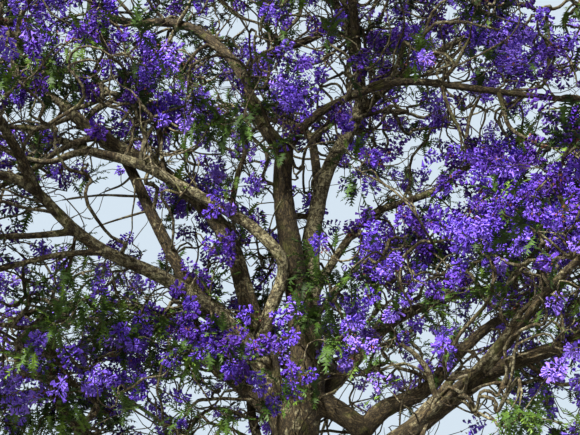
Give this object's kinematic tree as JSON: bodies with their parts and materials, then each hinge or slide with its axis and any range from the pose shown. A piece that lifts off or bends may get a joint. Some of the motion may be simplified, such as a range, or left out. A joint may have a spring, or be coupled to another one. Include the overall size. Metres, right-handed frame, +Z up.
{
  "type": "jacaranda tree",
  "caption": "Tree in full violet-blue blossom: short flared trunk, steep stems, long winding boughs and an open, wide crown, rooted in level ground.",
  "frame": {"origin": "middle of the flat cut at the foot of the trunk, at ground level", "axes": "+Z up the trunk, -Y towards the front of the tree that the picture shows, +X to the right of the picture"},
  "size_m": [13.4837, 12.5324, 11.2154],
  "materials": {
    "bark": "rough grey-brown bark with lichen",
    "blossom": "soft matt violet-blue petals",
    "leaf": "matt fresh green leaflets"
  },
  "bodies": {
    "root": {"trunk": "bark", "stem_left": "bark", "stem_middle": "bark", "stem_right": "bark", "bough_left_high": "bark", "bough_left_broad": "bark", "bough_left_low": "bark", "bough_left_cross": "bark", "bough_left_side": "bark", "bough_left_droop": "bark", "bough_front_left": "bark", "bough_left_bottom": "bark", "bough_back_stem": "bark", "bough_top_left": "bark", "bough_top": "bark", "bough_right_level": "bark", "bough_inner_high": "bark", "bough_front_high": "bark", "bough_front_high_right": "bark", "bough_crown_right": "bark", "bough_inner_right": "bark", "bough_right_rising": "bark", "bough_back_high": "bark", "bough_back_high_right": "bark", "bough_right_drop": "bark", "bough_right_sweep": "bark", "bough_right_low": "bark", "bough_right_front": "bark", "bough_front_right": "bark", "bough_back_low": "bark", "bough_back_right": "bark", "bough_back_left": "bark", "mass_left_high": "blossom", "mass_left_broad": "blossom", "mass_left_cross": "blossom", "mass_left_low": "blossom", "mass_left_side": "blossom", "mass_left_droop": "blossom", "mass_front_left": "blossom", "mass_left_bottom": "blossom", "mass_back_stem": "blossom", "mass_top_left": "blossom", "mass_top": "blossom", "mass_top_middle": "blossom", "mass_right_level": "blossom", "mass_inner_high": "blossom", "mass_front_high_left": "blossom", "mass_front_high_right": "blossom", "mass_crown_right": "blossom", "mass_inner_right": "blossom", "mass_right_rising": "blossom", "mass_back_high_left": "blossom", "mass_back_high_right": "blossom", "mass_right_sweep": "blossom", "mass_right_low": "blossom", "mass_right_front": "blossom", "mass_front_right": "blossom", "mass_back_low": "blossom", "mass_back_right": "blossom", "mass_back_left": "blossom"}
  },
  "joints": []
}
